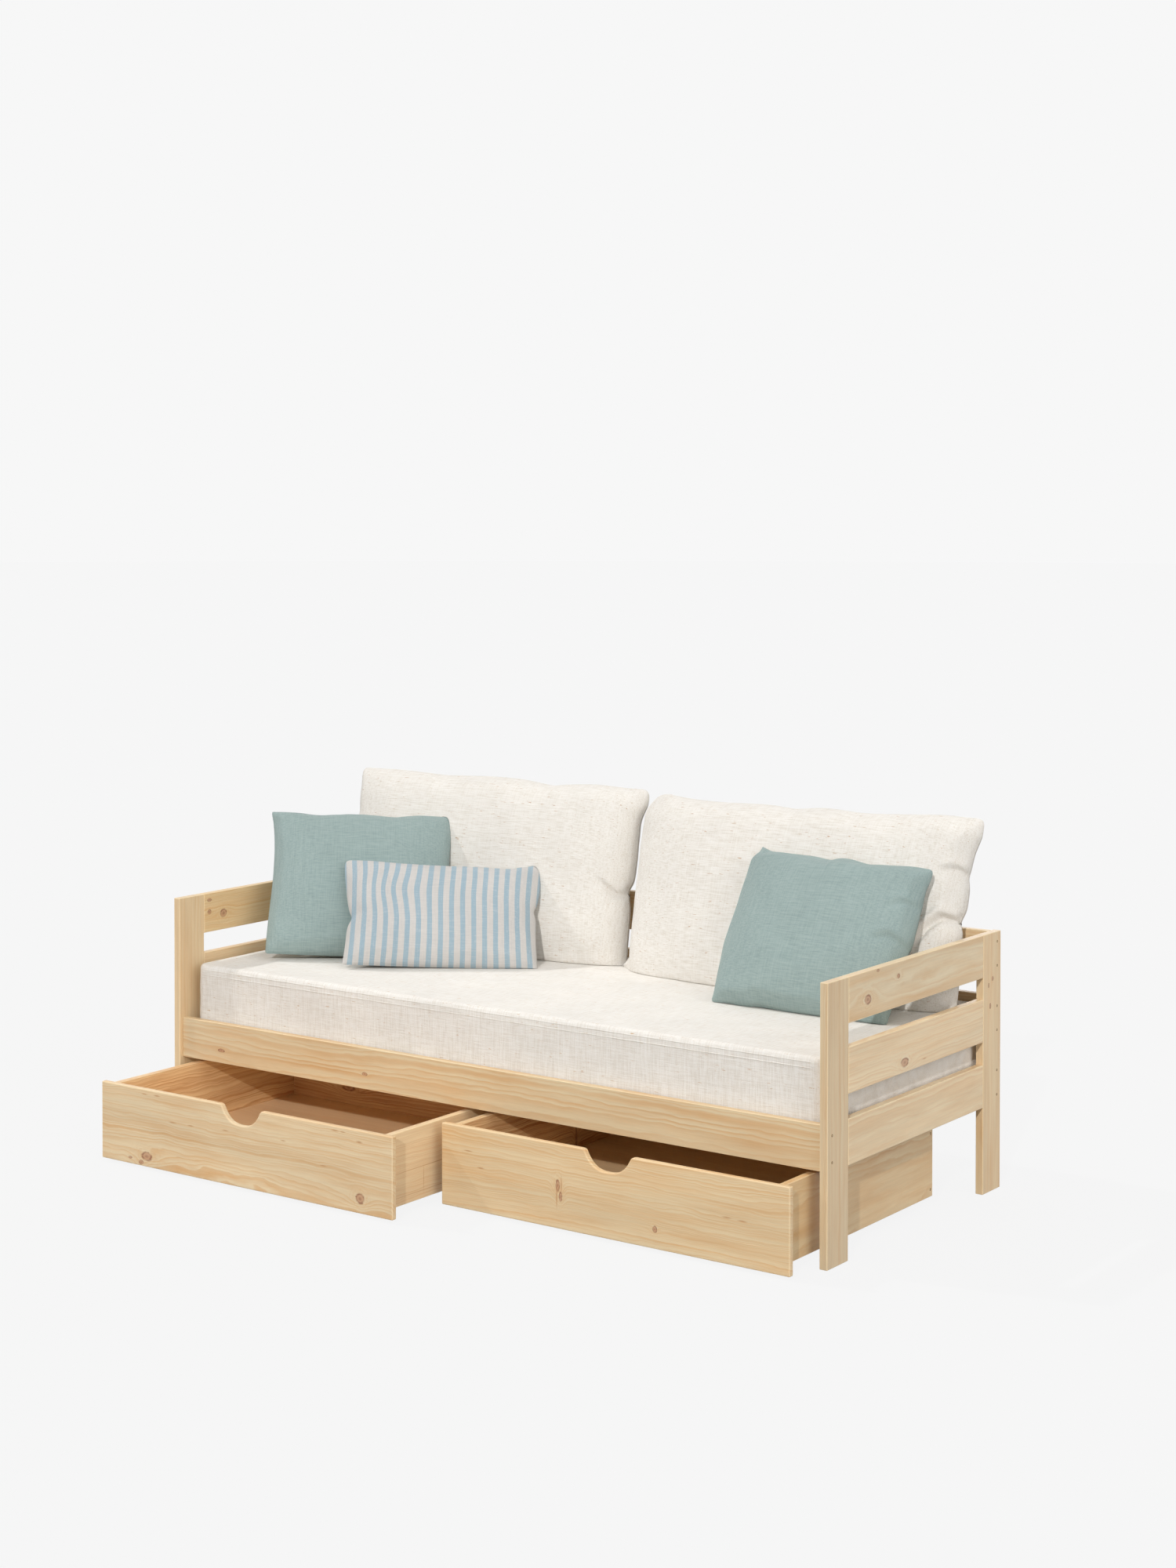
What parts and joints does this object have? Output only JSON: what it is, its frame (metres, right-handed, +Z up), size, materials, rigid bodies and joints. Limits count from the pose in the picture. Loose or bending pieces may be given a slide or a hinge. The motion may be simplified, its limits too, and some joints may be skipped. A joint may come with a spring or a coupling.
{
  "type": "storage daybed",
  "caption": "Pine daybed with open railed ends and back, a slatted base with a mattress and loose cushions, and wheeled drawers with finger scoops beneath.",
  "frame": {"origin": "on the floor, midway between the two ends, and midway between the left drawer's front as it stands and the back posts' back faces", "axes": "+X along the daybed to its right as seen from the front, -Y to the front, +Z up"},
  "size_m": [1.99, 1.171, 0.9227],
  "materials": {
    "lacquered_pine": "satin clear lacquer over glued pine lamellas",
    "thin_plywood": "thin sanded plywood",
    "cream_linen": "matte slub linen",
    "teal_weave": "matte fine plain weave",
    "striped_cotton": "matte cotton with upright light blue and off-white stripes",
    "zinc_steel": "zinc plated",
    "dark_plastic": "moulded"
  },
  "bodies": {
    "frame": {"back_left_post": "lacquered_pine", "back_low_rail": "lacquered_pine", "back_middle_rail": "lacquered_pine", "back_right_post": "lacquered_pine", "back_slat_ledge": "lacquered_pine", "back_top_rail": "lacquered_pine", "front_left_post": "lacquered_pine", "front_rail": "lacquered_pine", "front_right_post": "lacquered_pine", "front_slat_ledge": "lacquered_pine", "left_back_cushion": "cream_linen", "left_end_low_rail": "lacquered_pine", "left_end_middle_rail": "lacquered_pine", "left_end_top_rail": "lacquered_pine", "left_square_cushion": "teal_weave", "mattress": "cream_linen", "right_back_cushion": "cream_linen", "right_end_low_rail": "lacquered_pine", "right_end_middle_rail": "lacquered_pine", "right_end_top_rail": "lacquered_pine", "right_square_cushion": "teal_weave", "slat_01": "lacquered_pine", "slat_02": "lacquered_pine", "slat_03": "lacquered_pine", "slat_04": "lacquered_pine", "slat_05": "lacquered_pine", "slat_06": "lacquered_pine", "slat_07": "lacquered_pine", "slat_08": "lacquered_pine", "slat_09": "lacquered_pine", "slat_10": "lacquered_pine", "slat_11": "lacquered_pine", "striped_lumbar_cushion": "striped_cotton"},
    "left_drawer": {"left_drawer_back": "lacquered_pine", "left_drawer_back_left_bracket": "zinc_steel", "left_drawer_back_right_bracket": "zinc_steel", "left_drawer_bottom": "thin_plywood", "left_drawer_front": "lacquered_pine", "left_drawer_front_left_bracket": "zinc_steel", "left_drawer_front_right_bracket": "zinc_steel", "left_drawer_left_side": "lacquered_pine", "left_drawer_right_side": "lacquered_pine"},
    "left_drawer_front_left_wheel": {"left_drawer_front_left_wheel": "dark_plastic"},
    "left_drawer_front_right_wheel": {"left_drawer_front_right_wheel": "dark_plastic"},
    "left_drawer_back_left_wheel": {"left_drawer_back_left_wheel": "dark_plastic"},
    "left_drawer_back_right_wheel": {"left_drawer_back_right_wheel": "dark_plastic"},
    "right_drawer": {"right_drawer_back": "lacquered_pine", "right_drawer_back_left_bracket": "zinc_steel", "right_drawer_back_right_bracket": "zinc_steel", "right_drawer_bottom": "thin_plywood", "right_drawer_front": "lacquered_pine", "right_drawer_front_left_bracket": "zinc_steel", "right_drawer_front_right_bracket": "zinc_steel", "right_drawer_left_side": "lacquered_pine", "right_drawer_right_side": "lacquered_pine"},
    "right_drawer_front_left_wheel": {"right_drawer_front_left_wheel": "dark_plastic"},
    "right_drawer_front_right_wheel": {"right_drawer_front_right_wheel": "dark_plastic"},
    "right_drawer_back_left_wheel": {"right_drawer_back_left_wheel": "dark_plastic"},
    "right_drawer_back_right_wheel": {"right_drawer_back_right_wheel": "dark_plastic"}
  },
  "joints": [
    {"name": "left_drawer_slide", "type": "slide", "parent": "frame", "child": "left_drawer", "axis": [0, -1, 0], "range_m": [-0.3065, 0.3435]},
    {"name": "left_drawer_front_left_wheel_spin", "type": "hinge", "parent": "left_drawer", "child": "left_drawer_front_left_wheel", "pos_m": [-0.8439, -0.46775, 0.016], "axis": [1, 0, 0], "continuous": true},
    {"name": "left_drawer_front_right_wheel_spin", "type": "hinge", "parent": "left_drawer", "child": "left_drawer_front_right_wheel", "pos_m": [-0.1252, -0.46775, 0.016], "axis": [1, 0, 0], "continuous": true},
    {"name": "left_drawer_back_left_wheel_spin", "type": "hinge", "parent": "left_drawer", "child": "left_drawer_back_left_wheel", "pos_m": [-0.8439, 0.04625, 0.016], "axis": [1, 0, 0], "continuous": true},
    {"name": "left_drawer_back_right_wheel_spin", "type": "hinge", "parent": "left_drawer", "child": "left_drawer_back_right_wheel", "pos_m": [-0.1252, 0.04625, 0.016], "axis": [1, 0, 0], "continuous": true},
    {"name": "right_drawer_slide", "type": "slide", "parent": "frame", "child": "right_drawer", "axis": [0, -1, 0], "range_m": [-0.125, 0.525]},
    {"name": "right_drawer_front_left_wheel_spin", "type": "hinge", "parent": "right_drawer", "child": "right_drawer_front_left_wheel", "pos_m": [0.1252, -0.28625, 0.016], "axis": [1, 0, 0], "continuous": true},
    {"name": "right_drawer_front_right_wheel_spin", "type": "hinge", "parent": "right_drawer", "child": "right_drawer_front_right_wheel", "pos_m": [0.8439, -0.28625, 0.016], "axis": [1, 0, 0], "continuous": true},
    {"name": "right_drawer_back_left_wheel_spin", "type": "hinge", "parent": "right_drawer", "child": "right_drawer_back_left_wheel", "pos_m": [0.1252, 0.22775, 0.016], "axis": [1, 0, 0], "continuous": true},
    {"name": "right_drawer_back_right_wheel_spin", "type": "hinge", "parent": "right_drawer", "child": "right_drawer_back_right_wheel", "pos_m": [0.8439, 0.22775, 0.016], "axis": [1, 0, 0], "continuous": true}
  ],
  "couplings": [
    {"joint": "left_drawer_front_left_wheel_spin", "follows": "left_drawer_slide", "rad_per_m": 62.5},
    {"joint": "left_drawer_front_right_wheel_spin", "follows": "left_drawer_slide", "rad_per_m": 62.5},
    {"joint": "left_drawer_back_left_wheel_spin", "follows": "left_drawer_slide", "rad_per_m": 62.5},
    {"joint": "left_drawer_back_right_wheel_spin", "follows": "left_drawer_slide", "rad_per_m": 62.5},
    {"joint": "right_drawer_front_left_wheel_spin", "follows": "right_drawer_slide", "rad_per_m": 62.5},
    {"joint": "right_drawer_front_right_wheel_spin", "follows": "right_drawer_slide", "rad_per_m": 62.5},
    {"joint": "right_drawer_back_left_wheel_spin", "follows": "right_drawer_slide", "rad_per_m": 62.5},
    {"joint": "right_drawer_back_right_wheel_spin", "follows": "right_drawer_slide", "rad_per_m": 62.5}
  ]
}
